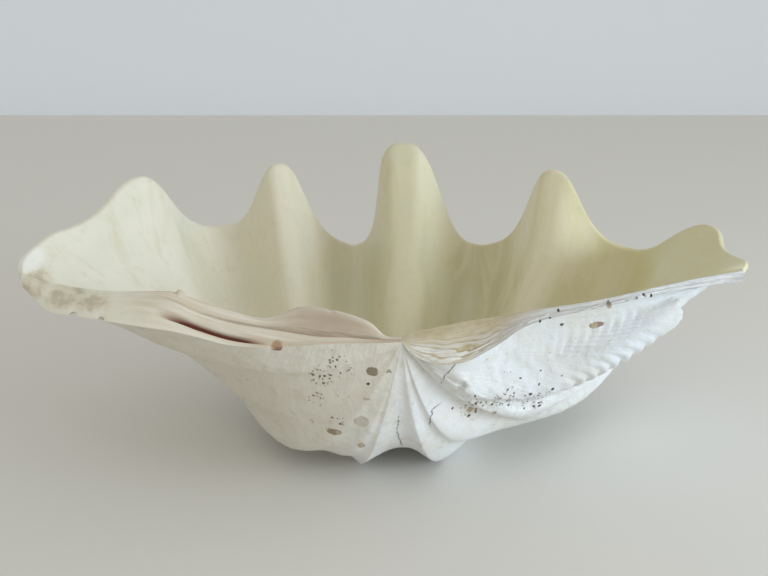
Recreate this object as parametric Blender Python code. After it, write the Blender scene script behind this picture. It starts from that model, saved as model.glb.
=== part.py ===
"""One valve of a giant clam shell, lying hollow side up on its folded underside.

Lengths are metres. Points in the tables are measured from the umbo (the beak at the hinge):
+X to the front end of the shell, +Y from the hinge to the scalloped margin, +Z up.
The finished mesh is moved so that the middle of its box is at x = y = 0 and its lowest face at z = 0.
"""
import bpy
import bmesh
import numpy as np

NODE = "valve"
COLLECTION = "clam_shell"

# Resting height: the umbo is this far above the flat the shell stands on
UMBO_HEIGHT = 0.168

# Spokes run from the umbo to the margin. Each has its point on the margin, a handle that sets how it
# leaves the umbo and a handle that sets how it climbs to the margin. A rib stands out of the underside
# and ends in a notch of the margin; a furrow stands into the hollow and ends in a raised lobe.
# The two dorsal margins below stand before the first and after the last spoke.
SPOKES = (
    ("rib_front", "rib", (0.341, 0.141, 0.033), (0.118, -0.022, -0.140), (0.262, 0.092, 0.022)),
    ("lobe_5", "furrow", (0.338, 0.235, 0.043), (0.124, 0.008, -0.172), (0.260, 0.160, -0.050)),
    ("rib_4", "rib", (0.278, 0.325, -0.006), (0.125, 0.030, -0.180), (0.258, 0.290, -0.150)),
    ("lobe_4", "furrow", (0.187, 0.385, 0.075), (0.060, -0.010, -0.235), (0.160, 0.290, -0.120)),
    ("rib_3", "rib", (0.107, 0.440, -0.031), (0.030, -0.010, -0.268), (0.090, 0.365, -0.184)),
    ("lobe_3", "furrow", (0.007, 0.410, 0.103), (-0.005, -0.005, -0.250), (0.007, 0.330, -0.150)),
    ("rib_2", "rib", (-0.056, 0.445, -0.032), (-0.053, -0.010, -0.273), (-0.065, 0.365, -0.184)),
    ("lobe_2", "furrow", (-0.142, 0.385, 0.083), (-0.075, -0.005, -0.268), (-0.120, 0.300, -0.130)),
    ("rib_1", "rib", (-0.228, 0.370, 0.011), (-0.112, -0.010, -0.228), (-0.195, 0.290, -0.165)),
    ("lobe_1", "furrow", (-0.284, 0.260, 0.092), (-0.130, 0.000, -0.170), (-0.250, 0.200, -0.070)),
    ("rib_rear", "rib", (-0.332, 0.150, 0.063), (-0.120, 0.000, -0.085), (-0.285, 0.110, -0.025)),
    ("rear_tip", "edge", (-0.356, 0.085, 0.053), (-0.125, -0.005, -0.070), (-0.290, 0.070, -0.012)),
)
# Distance from a lobe's tip to its half height, as a share of the way to the next notch,
# one value for each gap between neighbouring spokes and margins
LOBE_SHARE = (1.0, 1.00, 0.42, 0.38, 0.37, 0.43, 0.47, 0.39, 0.33, 0.47, 0.88, 1.0, 1.0)
# Steepness of the lobes' flanks, for the same gaps
LOBE_POWER = (3.2, 2.0, 3.2, 3.2, 3.2, 4.6, 4.6, 3.2, 3.2, 3.2, 3.2, 3.2, 3.2)

# Fold shape: ribs have their own section beside the umbo, are rounded half way, and broad between
# the lobes. Beside the umbo a fold leaves its rib slowly where the first value is over 1, and
# reaches its furrow early where the second is; one pair for each of the gaps
FOLD_SECTION = (
    (1.0, 1.0), (2.0, 2.0), (2.0, 2.0), (1.5, 1.6), (2.6, 2.2), (1.0, 2.2), (1.0, 2.2), (1.2, 1.8),
    (2.0, 2.0), (2.0, 2.0), (2.0, 2.0), (1.0, 1.0), (1.0, 1.0),
)
ROUNDING_START = 0.25
ROUNDING_END = 0.70
LOBING_START = 0.45

# Dorsal margin in front of the umbo: outer edge and the crest of the inner slope above it
FRONT_OUTER = (
    (0.000, 0.000, 0.000), (0.009, -0.004, -0.010), (0.025, -0.006, -0.017), (0.043, -0.005, -0.019),
    (0.059, 0.000, -0.018), (0.079, 0.008, -0.010), (0.093, 0.014, -0.003), (0.107, 0.020, 0.005),
    (0.130, 0.030, 0.011), (0.184, 0.050, 0.016), (0.244, 0.075, 0.021), (0.286, 0.090, 0.024),
    (0.331, 0.099, 0.027),
)
FRONT_INNER = (
    (0.000, 0.022, -0.003), (0.010, 0.028, -0.001), (0.026, 0.035, 0.001), (0.045, 0.040, 0.003),
    (0.062, 0.045, 0.005), (0.082, 0.048, 0.007), (0.096, 0.050, 0.009), (0.110, 0.052, 0.011),
    (0.134, 0.055, 0.014), (0.186, 0.065, 0.019), (0.246, 0.082, 0.027), (0.288, 0.094, 0.032),
    (0.331, 0.104, 0.036),
)
# Dorsal margin behind the umbo, from the outer edge inwards: edge, ligament slit, nymph crest,
# furrow, crest of the long tooth, foot of the tooth inside the hollow
REAR_OUTER = (
    (0.000, 0.000, 0.000), (-0.015, -0.002, 0.000), (-0.028, -0.003, 0.000), (-0.051, -0.004, 0.000),
    (-0.071, -0.004, -0.001), (-0.090, -0.004, -0.002), (-0.122, -0.002, -0.004), (-0.153, 0.000, -0.003),
    (-0.180, 0.003, 0.003), (-0.205, 0.006, 0.008), (-0.229, 0.008, 0.011), (-0.261, 0.012, 0.015),
    (-0.294, 0.020, 0.018), (-0.321, 0.029, 0.020), (-0.348, 0.048, 0.036),
)
REAR_SLIT = (
    (0.000, 0.004, -0.001), (-0.015, 0.004, -0.002), (-0.028, 0.004, -0.004), (-0.051, 0.004, -0.005),
    (-0.071, 0.005, -0.006), (-0.091, 0.006, -0.008), (-0.123, 0.008, -0.004), (-0.154, 0.011, 0.001),
    (-0.181, 0.014, 0.009), (-0.206, 0.016, 0.019), (-0.230, 0.017, 0.024), (-0.262, 0.020, 0.024),
    (-0.295, 0.027, 0.026), (-0.322, 0.036, 0.029), (-0.350, 0.051, 0.041),
)
REAR_NYMPH = (
    (0.000, 0.008, -0.002), (-0.015, 0.009, -0.001), (-0.029, 0.010, -0.001), (-0.051, 0.012, 0.000),
    (-0.072, 0.013, 0.000), (-0.092, 0.014, 0.001), (-0.123, 0.016, 0.005), (-0.155, 0.019, 0.010),
    (-0.182, 0.022, 0.018), (-0.207, 0.025, 0.028), (-0.232, 0.028, 0.031), (-0.264, 0.030, 0.030),
    (-0.297, 0.034, 0.029), (-0.324, 0.043, 0.033), (-0.351, 0.055, 0.044),
)
REAR_FURROW = (
    (0.000, 0.012, -0.002), (-0.015, 0.014, -0.003), (-0.029, 0.017, -0.003), (-0.051, 0.021, -0.002),
    (-0.072, 0.023, -0.001), (-0.092, 0.025, 0.002), (-0.124, 0.028, 0.005), (-0.156, 0.031, 0.010),
    (-0.184, 0.034, 0.018), (-0.209, 0.037, 0.028), (-0.234, 0.040, 0.031), (-0.267, 0.040, 0.032),
    (-0.300, 0.044, 0.032), (-0.326, 0.050, 0.036), (-0.352, 0.060, 0.046),
)
REAR_TOOTH = (
    (0.000, 0.017, -0.002), (-0.015, 0.021, -0.001), (-0.029, 0.026, 0.010), (-0.051, 0.030, 0.017),
    (-0.072, 0.032, 0.021), (-0.093, 0.034, 0.022), (-0.125, 0.038, 0.010), (-0.157, 0.042, 0.016),
    (-0.185, 0.046, 0.024), (-0.211, 0.048, 0.032), (-0.236, 0.050, 0.032), (-0.269, 0.050, 0.032),
    (-0.302, 0.054, 0.034), (-0.328, 0.058, 0.038), (-0.353, 0.065, 0.047),
)
REAR_FOOT = (
    (0.000, 0.022, -0.003), (-0.015, 0.028, -0.008), (-0.029, 0.034, -0.002), (-0.051, 0.039, 0.006),
    (-0.072, 0.041, 0.008), (-0.093, 0.043, 0.003), (-0.125, 0.047, -0.002), (-0.157, 0.051, 0.003),
    (-0.185, 0.055, 0.012), (-0.211, 0.058, 0.019), (-0.236, 0.060, 0.024), (-0.269, 0.061, 0.028),
    (-0.302, 0.064, 0.031), (-0.328, 0.067, 0.036), (-0.353, 0.070, 0.047),
)
# Share of the front slope, from its outer edge to its crest, where each of its lines runs
FRONT_SLOPE = (0.0, 0.18, 0.36, 0.55, 0.77, 1.0)
# The two corners where margin and dorsal margins meet keep this many spokes unthickened
CORNER = 0.55

# Wall: thickness at the margin, and how far the hollow's handles stand inside the outer ones
RIM_THICKNESS = 0.009
THICKENING_START = 0.5
RIM_ROUNDING = 0.35
HOLLOW_START = (0.000, 0.022, -0.003)
HOLLOW_FOCUS = (0.0, 0.200, 0.060)
HOLLOW_INSET_UMBO = 0.034
HOLLOW_INSET_WALL = 0.020
HOLLOW_FOLD_UMBO = 0.15
HOLLOW_FOLD_WALL = 0.85
MARGIN_FADE = 3.0

# Growth ledges on the underside: spoke they follow, reach to either side in spokes, share of the way
# to the margin where they break off and its change per spoke, height of the break
LEDGES = (
    (1.1, 0.9, 0.71, -0.09, 0.011), (3.0, 0.8, 0.67, 0.0, 0.009), (3.0, 0.8, 0.88, 0.0, 0.004),
    (5.0, 0.7, 0.80, 0.0, 0.004), (7.0, 0.7, 0.76, 0.0, 0.004), (9.0, 0.8, 0.84, 0.0, 0.004),
    (11.0, 0.9, 0.70, 0.0, 0.003),
)
LEDGE_RUN = 0.40
LEDGE_BREAK = 0.03
# Swellings on the underside: spoke, share of the way to the margin, reach in spokes and in shares, height
SWELLINGS = ((1.4, 0.15, 0.50, 0.05, 0.003), (2.6, 0.30, 0.40, 0.06, 0.003), (9.6, 0.42, 0.7, 0.10, 0.003))

# Grid of the solid: rows from umbo to margin, and columns between neighbouring spokes as shares
# of the way from a rib to a lobe
ROWS = 33
COLUMNS_FOLD = (0.0, 0.12, 0.34, 0.54, 0.70, 0.85)
COLUMNS_EDGE = (0.0, 0.5)
COLUMNS_SIDE = (0.0, 0.33, 0.67)
SIDE_GAPS = (1, 10)
# Steps that measure the sheet's direction along and across the spokes, and the share of the way
# inside which the direction is taken from further out
STEP_ALONG = 0.0005
STEP_ACROSS = 0.01
STEP_FORWARD = 0.01
NORMAL_FROM = 0.05

RIM = np.array([spoke[2] for spoke in SPOKES])
HANDLE_UMBO = np.array([spoke[3] for spoke in SPOKES])
HANDLE_WALL = np.array([spoke[4] for spoke in SPOKES])
KINDS = {"rib": -1.0, "furrow": 1.0, "edge": 0.0}
SIDE = np.array([0.0] + [KINDS[spoke[1]] for spoke in SPOKES] + [0.0])
LAST = len(SPOKES) + 1
UMBO = np.zeros(3)


def ease(low, high, value):
    """0 below low, 1 above high, smooth between."""
    u = np.clip((value - low) / (high - low), 0.0, 1.0)
    return u * u * (3.0 - 2.0 * u)


def spline(points, at):
    """Smooth curve through the points, read at fractional point numbers."""
    i = np.clip(np.floor(at).astype(int), 0, len(points) - 2)
    u = (at - i)[:, None]
    padded = np.vstack([2 * points[0] - points[1], points, 2 * points[-1] - points[-2]])
    a, b, c, d = padded[i], padded[i + 1], padded[i + 2], padded[i + 3]
    return b + 0.5 * u * (c - a + u * (2 * a - 5 * b + 4 * c - d + u * (3 * (b - c) + d - a)))


def margin_numbers(reference, s):
    """Point numbers along a dorsal margin at the shares s of its outer edge's length."""
    steps = np.linalg.norm(np.diff(reference, axis=0), axis=1)
    length = np.concatenate([[0.0], np.cumsum(steps)])
    return np.interp(s, length / length[-1], np.arange(len(reference)))


def dorsal(side, line, s):
    """Line number 0 (outer edge) to 5 (start of the hollow) of the front or rear dorsal margin."""
    if side == "front":
        outer = np.array(FRONT_OUTER)
        inner = np.array(FRONT_INNER)
        points = outer + (inner - outer) * FRONT_SLOPE[line]
        return spline(points, margin_numbers(outer, s))
    lines = (REAR_OUTER, REAR_SLIT, REAR_NYMPH, REAR_FURROW, REAR_TOOTH, REAR_FOOT)
    return spline(np.array(lines[line]), margin_numbers(np.array(REAR_OUTER), s))


def fold_profile(from_rib, s, gap, sharp):
    """0 on a rib, 1 on a furrow; the shape between them changes from umbo to margin."""
    share, power = np.array(LOBE_SHARE)[gap], np.array(LOBE_POWER)[gap]
    leave, reach = np.array(FOLD_SECTION)[gap].T
    rounded = (1.0 - np.cos(np.pi * from_rib)) / 2.0
    crested = 1.0 - (1.0 - from_rib ** leave) ** reach
    rise = 1.0 / (1.0 + ((1.0 - from_rib) / share) ** power)
    foot = 1.0 / (1.0 + (1.0 / share) ** power)
    lobed = (rise - foot) / (1.0 - foot)
    early = crested if sharp else rounded
    middle = early + (rounded - early) * ease(ROUNDING_START, ROUNDING_END, s)
    return middle + (lobed - middle) * ease(LOBING_START, 1.0, s)


def spoke_curve(number, s, start, handle_umbo, handle_wall, rim):
    """Points at the shares s of one spoke's cubic curve."""
    t = s[:, None]
    return (
        start * (1 - t) ** 3
        + 3 * handle_umbo[number] * t * (1 - t) ** 2
        + 3 * handle_wall[number] * t * t * (1 - t)
        + rim[number] * t ** 3
    )


def between(rows, theta):
    """Smooth value at theta from one row of points for each spoke."""
    i = np.clip(np.floor(theta).astype(int), 0, LAST - 1)
    u = (theta - i)[:, None]
    first = 2 * rows[:1] - rows[1:2]
    final = 2 * rows[-1:] - rows[-2:-1]
    padded = np.concatenate([first, rows, final])
    n = np.arange(len(theta))
    a, b, c, d = padded[i, n], padded[i + 1, n], padded[i + 2, n], padded[i + 3, n]
    return b + 0.5 * u * (c - a + u * (2 * a - 5 * b + 4 * c - d + u * (3 * (b - c) + d - a)))


def fan(s, theta, line, start, handle_umbo, handle_wall, rim):
    """Sheet through all spokes: a smooth bowl plus a fold that swings between ribs and furrows."""
    table = (start, handle_umbo, handle_wall, rim)
    spokes = [spoke_curve(number, s, *table) for number in range(len(rim))]
    lines = np.stack([dorsal("front", line, s)] + spokes + [dorsal("rear", line, s)])
    bowl = lines.copy()
    bowl[1:-1] = (lines[:-2] + 2 * lines[1:-1] + lines[2:]) / 4
    bowl[SIDE == 0] = lines[SIDE == 0]
    swing = (lines - bowl) * SIDE[:, None, None]
    gap = np.clip(np.floor(theta).astype(int), 0, LAST - 1)
    u = theta - gap
    low, high = SIDE[gap], SIDE[gap + 1]
    from_rib = np.where(low < high, u, 1.0 - u)
    share = fold_profile(from_rib, s, gap, line == 0)
    plain = (1.0 - np.cos(np.pi * from_rib)) / 2.0
    share = np.where(low * high < 0, share, plain)
    side = np.minimum(low, high) + np.abs(high - low) * share
    return between(bowl, theta) + between(swing, theta) * side[:, None]


def middle_sheet(s, theta):
    """Folded sheet half way through the wall at the margin."""
    return fan(s, theta, 0, UMBO, HANDLE_UMBO, HANDLE_WALL, RIM)


def inward(s, theta):
    """Unit normal of the sheet, pointing into the hollow."""
    s = np.maximum(s, NORMAL_FROM)
    s_high = np.minimum(s + STEP_ALONG, 1.0)
    t_low = np.maximum(theta - STEP_ACROSS, 0.0)
    t_high = np.minimum(theta + STEP_ACROSS, LAST)
    along = middle_sheet(s_high, theta) - middle_sheet(s - STEP_ALONG, theta)
    around = middle_sheet(s, t_high) - middle_sheet(s, t_low)
    normal = np.cross(along, around)
    return normal / np.linalg.norm(normal, axis=1)[:, None]


def relief(s, theta):
    """Height of ledges and swellings above the folded underside."""
    height = np.zeros_like(s)
    for spoke, reach, middle, slant, top in LEDGES:
        across = 1.0 - ease(0.0, reach, np.abs(theta - spoke))
        end = middle + slant * (theta - spoke)
        climb = ease(end - LEDGE_RUN, end - LEDGE_BREAK, s)
        height += top * across * climb * (1.0 - ease(end - LEDGE_BREAK / 2, end + LEDGE_BREAK / 2, s))
    for spoke, share, wide, long, top in SWELLINGS:
        height += top * np.exp(-((theta - spoke) / wide) ** 2 - ((s - share) / long) ** 2)
    return height


def outer_sheet(s, theta):
    """Underside of the shell, worn flat where it stands."""
    half = RIM_THICKNESS / 2.0 * ease(THICKENING_START, 1.0, s)
    core = np.clip(np.minimum(theta, LAST - theta) / CORNER, 0.0, 1.0)
    out = half * core + relief(s, theta) * core
    points = middle_sheet(s, theta) - inward(s, theta) * out[:, None]
    points[:, 2] = np.maximum(points[:, 2], -UMBO_HEIGHT)
    return points


def hollow_tables():
    """Spoke tables of the hollow: inside the outer ones and with softer folds."""
    tables = []
    for handles, keep, inset in (
        (HANDLE_UMBO, HOLLOW_FOLD_UMBO, HOLLOW_INSET_UMBO),
        (HANDLE_WALL, HOLLOW_FOLD_WALL, HOLLOW_INSET_WALL),
    ):
        even = handles.copy()
        even[1:-1] = (handles[:-2] + 2 * handles[1:-1] + handles[2:]) / 4
        soft = even + (handles - even) * keep
        aim = np.array(HOLLOW_FOCUS) - soft
        tables.append(soft + aim / np.linalg.norm(aim, axis=1)[:, None] * inset)
    return tables


def inner_rim(theta):
    """Inner edge of the margin."""
    one = np.ones_like(theta)
    core = np.clip(np.minimum(theta, LAST - theta) / CORNER, 0.0, 1.0)
    return middle_sheet(one, theta) + inward(one, theta) * (RIM_THICKNESS / 2.0 * core)[:, None]


def inner_sheet(s, theta):
    """Wall of the hollow."""
    handle_umbo, handle_wall = hollow_tables()
    rim = inner_rim(np.arange(1.0, LAST))
    table = (np.array(HOLLOW_START), handle_umbo, handle_wall, rim)
    line = len(FRONT_SLOPE) - 1
    missing = inner_rim(theta) - fan(np.ones_like(s), theta, line, *table)
    away = np.minimum(theta, LAST - theta)
    strength = s ** MARGIN_FADE * ease(0.0, CORNER, away)
    return fan(s, theta, line, *table) + missing * strength[:, None]


def rim_face(theta, line):
    """Rounded edge between the outer and the inner rim."""
    one = np.ones_like(theta)
    across = FRONT_SLOPE[line]
    outside, inside = outer_sheet(one, theta), inner_sheet(one, theta)
    forward = middle_sheet(one, theta) - middle_sheet(one - STEP_FORWARD, theta)
    forward /= np.linalg.norm(forward, axis=1)[:, None]
    wide = np.linalg.norm(inside - outside, axis=1)
    bulge = wide * RIM_ROUNDING * np.sin(np.pi * across)
    points = outside + (inside - outside) * across + forward * bulge[:, None]
    for side, number in (("front", 0), ("rear", LAST)):
        end = dorsal(side, line, np.ones(1))[0]
        here = points[int(np.argmin(np.abs(theta - number)))]
        reach = 1.0 - ease(0.0, CORNER, np.abs(theta - number))
        points = points + (end - here) * reach[:, None]
    return points


def columns():
    """Values of theta for the grid's columns."""
    values = []
    for gap in range(LAST):
        if SIDE[gap] * SIDE[gap + 1] == 0.0:
            shares = COLUMNS_EDGE
        elif gap in SIDE_GAPS:
            shares = COLUMNS_SIDE
        elif SIDE[gap] < 0:
            shares = COLUMNS_FOLD
        else:
            shares = (0.0,) + tuple(1.0 - share for share in reversed(COLUMNS_FOLD[1:]))
        values.extend(gap + share for share in shares)
    return np.array(values + [float(LAST)])


def build_valve():
    """Closed grid of outer sheet, hollow, margin and the two dorsal faces."""
    thetas = columns()
    shares = np.linspace(0.0, 1.0, ROWS + 1)
    width = len(thetas)
    lines = len(FRONT_SLOPE)
    mesh = bmesh.new()
    grid = {}
    s_all = np.repeat(shares, width)
    t_all = np.tile(thetas, ROWS + 1)
    outside = outer_sheet(s_all, t_all).reshape(ROWS + 1, width, 3)
    inside = inner_sheet(s_all, t_all).reshape(ROWS + 1, width, 3)
    rim = [rim_face(thetas, line) for line in range(lines)]
    front = [dorsal("front", line, shares) for line in range(lines)]
    rear = [dorsal("rear", line, shares) for line in range(lines)]
    umbo_line = [mesh.verts.new(front[line][0]) for line in range(lines)]

    def vertex(i, j, line):
        if i == 0:
            return umbo_line[line]
        key = (i, j, line)
        if key not in grid:
            if line == 0:
                point = outside[i, j]
            elif line == lines - 1:
                point = inside[i, j]
            elif i == ROWS:
                point = rim[line][j]
            elif j == 0:
                point = front[line][i]
            else:
                point = rear[line][i]
            grid[key] = mesh.verts.new(point)
        return grid[key]

    def face(*corners):
        unique = []
        for corner in corners:
            if corner not in unique:
                unique.append(corner)
        if len(unique) > 2:
            mesh.faces.new(unique)

    top = lines - 1
    for i in range(ROWS):
        for j in range(width - 1):
            face(vertex(i, j, 0), vertex(i, j + 1, 0), vertex(i + 1, j + 1, 0), vertex(i + 1, j, 0))
            face(vertex(i, j, top), vertex(i + 1, j, top), vertex(i + 1, j + 1, top), vertex(i, j + 1, top))
        for line in range(top):
            face(vertex(i, 0, line), vertex(i + 1, 0, line), vertex(i + 1, 0, line + 1), vertex(i, 0, line + 1))
            last = width - 1
            face(vertex(i, last, line), vertex(i, last, line + 1), vertex(i + 1, last, line + 1),
                 vertex(i + 1, last, line))
    for j in range(width - 1):
        for line in range(top):
            face(vertex(ROWS, j, line), vertex(ROWS, j + 1, line), vertex(ROWS, j + 1, line + 1),
                 vertex(ROWS, j, line + 1))
    bmesh.ops.recalc_face_normals(mesh, faces=mesh.faces)
    return mesh


def centre(mesh):
    """Moves the box's middle over the origin and the lowest face to z = 0."""
    points = np.array([vert.co for vert in mesh.verts])
    low, high = points.min(axis=0), points.max(axis=0)
    shift = (-(low[0] + high[0]) / 2, -(low[1] + high[1]) / 2, -low[2])
    bmesh.ops.translate(mesh, verts=mesh.verts, vec=shift)


def shell_material():
    """Chalky cream shell."""
    material = bpy.data.materials.new("shell")
    material.use_nodes = True
    shader = material.node_tree.nodes["Principled BSDF"]
    shader.inputs["Base Color"].default_value = (0.80, 0.76, 0.66, 1.0)
    shader.inputs["Roughness"].default_value = 0.55
    return material


def main():
    for item in list(bpy.data.objects):
        bpy.data.objects.remove(item, do_unlink=True)
    collection = bpy.data.collections.new(COLLECTION)
    bpy.context.scene.collection.children.link(collection)
    mesh = build_valve()
    centre(mesh)
    bmesh.ops.triangulate(mesh, faces=mesh.faces)
    data = bpy.data.meshes.new(NODE)
    mesh.to_mesh(data)
    mesh.free()
    for polygon in data.polygons:
        polygon.use_smooth = True
    data.materials.append(shell_material())
    collection.objects.link(bpy.data.objects.new(NODE, data))


main()
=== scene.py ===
"""Giant clam valve lying hollow side up on a pale floor."""
import math

import bpy
import numpy as np
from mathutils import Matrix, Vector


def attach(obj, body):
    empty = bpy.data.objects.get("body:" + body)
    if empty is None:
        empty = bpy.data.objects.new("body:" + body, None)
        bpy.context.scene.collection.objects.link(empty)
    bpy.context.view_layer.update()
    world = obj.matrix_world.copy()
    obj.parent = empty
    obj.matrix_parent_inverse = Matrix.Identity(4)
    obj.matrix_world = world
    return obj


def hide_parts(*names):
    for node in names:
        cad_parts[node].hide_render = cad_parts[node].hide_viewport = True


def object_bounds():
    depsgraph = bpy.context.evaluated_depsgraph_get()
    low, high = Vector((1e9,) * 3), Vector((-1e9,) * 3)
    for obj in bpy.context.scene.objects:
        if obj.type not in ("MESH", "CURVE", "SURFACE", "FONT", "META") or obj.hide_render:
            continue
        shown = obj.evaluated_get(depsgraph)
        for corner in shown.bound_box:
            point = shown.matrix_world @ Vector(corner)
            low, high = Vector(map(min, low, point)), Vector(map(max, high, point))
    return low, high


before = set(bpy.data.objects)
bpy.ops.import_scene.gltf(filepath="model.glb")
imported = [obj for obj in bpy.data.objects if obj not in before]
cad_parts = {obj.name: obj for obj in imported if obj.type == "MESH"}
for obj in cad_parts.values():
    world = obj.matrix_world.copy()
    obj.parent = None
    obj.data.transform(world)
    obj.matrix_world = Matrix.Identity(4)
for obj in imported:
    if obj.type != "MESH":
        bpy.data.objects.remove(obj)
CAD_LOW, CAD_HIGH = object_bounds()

NODE = "valve"
# Place of the umbo in the row frame; the tables below are measured from it
UMBO_PLACE = np.array([0.00770, -0.22164, 0.168])

# Spokes: kind, point on the margin, handle at the umbo, handle in the wall
SPOKES = (
    ("rib", (0.341, 0.141, 0.033), (0.118, -0.022, -0.140), (0.262, 0.092, 0.022)),
    ("furrow", (0.338, 0.235, 0.043), (0.124, 0.008, -0.172), (0.260, 0.160, -0.050)),
    ("rib", (0.278, 0.325, -0.006), (0.125, 0.030, -0.180), (0.258, 0.290, -0.150)),
    ("furrow", (0.187, 0.385, 0.075), (0.060, -0.010, -0.235), (0.160, 0.290, -0.120)),
    ("rib", (0.107, 0.440, -0.031), (0.030, -0.010, -0.268), (0.090, 0.365, -0.184)),
    ("furrow", (0.007, 0.410, 0.103), (-0.005, -0.005, -0.250), (0.007, 0.330, -0.150)),
    ("rib", (-0.056, 0.445, -0.032), (-0.053, -0.010, -0.273), (-0.065, 0.365, -0.184)),
    ("furrow", (-0.142, 0.385, 0.083), (-0.075, -0.005, -0.268), (-0.120, 0.300, -0.130)),
    ("rib", (-0.228, 0.370, 0.011), (-0.112, -0.010, -0.228), (-0.195, 0.290, -0.165)),
    ("furrow", (-0.284, 0.260, 0.092), (-0.130, 0.000, -0.170), (-0.250, 0.200, -0.070)),
    ("rib", (-0.332, 0.150, 0.063), (-0.120, 0.000, -0.085), (-0.285, 0.110, -0.025)),
    ("edge", (-0.356, 0.085, 0.053), (-0.125, -0.005, -0.070), (-0.290, 0.070, -0.012)),
)
# Between spokes: width of the furrow's lobe at the margin, and how steep its flanks are
LOBE_SHARE = (1.0, 1.00, 0.42, 0.38, 0.37, 0.43, 0.47, 0.39, 0.33, 0.47, 0.88, 1.0, 1.0)
LOBE_POWER = (3.2, 2.0, 3.2, 3.2, 3.2, 4.6, 4.6, 3.2, 3.2, 3.2, 3.2, 3.2, 3.2)
# Between spokes: how the fold leaves its rib and how it reaches its furrow
FOLD_SECTION = (
    (1.0, 1.0), (2.0, 2.0), (2.0, 2.0), (1.5, 1.6), (2.6, 2.2), (1.0, 2.2), (1.0, 2.2), (1.2, 1.8),
    (2.0, 2.0), (2.0, 2.0), (2.0, 2.0), (1.0, 1.0), (1.0, 1.0),
)
# Shares over which the crests round off, and where the lobes begin
ROUNDING_START = 0.25
ROUNDING_END = 0.70
LOBING_START = 0.45

# Dorsal margins in front of and behind the umbo, as lines of points from the umbo outwards
FRONT_OUTER = (
    (0.000, 0.000, 0.000), (0.009, -0.004, -0.010), (0.025, -0.006, -0.017), (0.043, -0.005, -0.019),
    (0.059, 0.000, -0.018), (0.079, 0.008, -0.010), (0.093, 0.014, -0.003), (0.107, 0.020, 0.005),
    (0.130, 0.030, 0.011), (0.184, 0.050, 0.016), (0.244, 0.075, 0.021), (0.286, 0.090, 0.024),
    (0.331, 0.099, 0.027),
)
FRONT_INNER = (
    (0.000, 0.022, -0.003), (0.010, 0.028, -0.001), (0.026, 0.035, 0.001), (0.045, 0.040, 0.003),
    (0.062, 0.045, 0.005), (0.082, 0.048, 0.007), (0.096, 0.050, 0.009), (0.110, 0.052, 0.011),
    (0.134, 0.055, 0.014), (0.186, 0.065, 0.019), (0.246, 0.082, 0.027), (0.288, 0.094, 0.032),
    (0.331, 0.104, 0.036),
)
REAR_OUTER = (
    (0.000, 0.000, 0.000), (-0.015, -0.002, 0.000), (-0.028, -0.003, 0.000), (-0.051, -0.004, 0.000),
    (-0.071, -0.004, -0.001), (-0.090, -0.004, -0.002), (-0.122, -0.002, -0.004), (-0.153, 0.000, -0.003),
    (-0.180, 0.003, 0.003), (-0.205, 0.006, 0.008), (-0.229, 0.008, 0.011), (-0.261, 0.012, 0.015),
    (-0.294, 0.020, 0.018), (-0.321, 0.029, 0.020), (-0.348, 0.048, 0.036),
)
REAR_SLIT = (
    (0.000, 0.004, -0.001), (-0.015, 0.004, -0.002), (-0.028, 0.004, -0.004), (-0.051, 0.004, -0.005),
    (-0.071, 0.005, -0.006), (-0.091, 0.006, -0.008), (-0.123, 0.008, -0.004), (-0.154, 0.011, 0.001),
    (-0.181, 0.014, 0.009), (-0.206, 0.016, 0.019), (-0.230, 0.017, 0.024), (-0.262, 0.020, 0.024),
    (-0.295, 0.027, 0.026), (-0.322, 0.036, 0.029), (-0.350, 0.051, 0.041),
)
REAR_NYMPH = (
    (0.000, 0.008, -0.002), (-0.015, 0.009, -0.001), (-0.029, 0.010, -0.001), (-0.051, 0.012, 0.000),
    (-0.072, 0.013, 0.000), (-0.092, 0.014, 0.001), (-0.123, 0.016, 0.005), (-0.155, 0.019, 0.010),
    (-0.182, 0.022, 0.018), (-0.207, 0.025, 0.028), (-0.232, 0.028, 0.031), (-0.264, 0.030, 0.030),
    (-0.297, 0.034, 0.029), (-0.324, 0.043, 0.033), (-0.351, 0.055, 0.044),
)
REAR_FURROW = (
    (0.000, 0.012, -0.002), (-0.015, 0.014, -0.003), (-0.029, 0.017, -0.003), (-0.051, 0.021, -0.002),
    (-0.072, 0.023, -0.001), (-0.092, 0.025, 0.002), (-0.124, 0.028, 0.005), (-0.156, 0.031, 0.010),
    (-0.184, 0.034, 0.018), (-0.209, 0.037, 0.028), (-0.234, 0.040, 0.031), (-0.267, 0.040, 0.032),
    (-0.300, 0.044, 0.032), (-0.326, 0.050, 0.036), (-0.352, 0.060, 0.046),
)
REAR_TOOTH = (
    (0.000, 0.017, -0.002), (-0.015, 0.021, -0.001), (-0.029, 0.026, 0.010), (-0.051, 0.030, 0.017),
    (-0.072, 0.032, 0.021), (-0.093, 0.034, 0.022), (-0.125, 0.038, 0.010), (-0.157, 0.042, 0.016),
    (-0.185, 0.046, 0.024), (-0.211, 0.048, 0.032), (-0.236, 0.050, 0.032), (-0.269, 0.050, 0.032),
    (-0.302, 0.054, 0.034), (-0.328, 0.058, 0.038), (-0.353, 0.065, 0.047),
)
REAR_FOOT = (
    (0.000, 0.022, -0.003), (-0.015, 0.028, -0.008), (-0.029, 0.034, -0.002), (-0.051, 0.039, 0.006),
    (-0.072, 0.041, 0.008), (-0.093, 0.043, 0.003), (-0.125, 0.047, -0.002), (-0.157, 0.051, 0.003),
    (-0.185, 0.055, 0.012), (-0.211, 0.058, 0.019), (-0.236, 0.060, 0.024), (-0.269, 0.061, 0.028),
    (-0.302, 0.064, 0.031), (-0.328, 0.067, 0.036), (-0.353, 0.070, 0.047),
)
REAR_LINES = (REAR_OUTER, REAR_SLIT, REAR_NYMPH, REAR_FURROW, REAR_TOOTH, REAR_FOOT)
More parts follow.
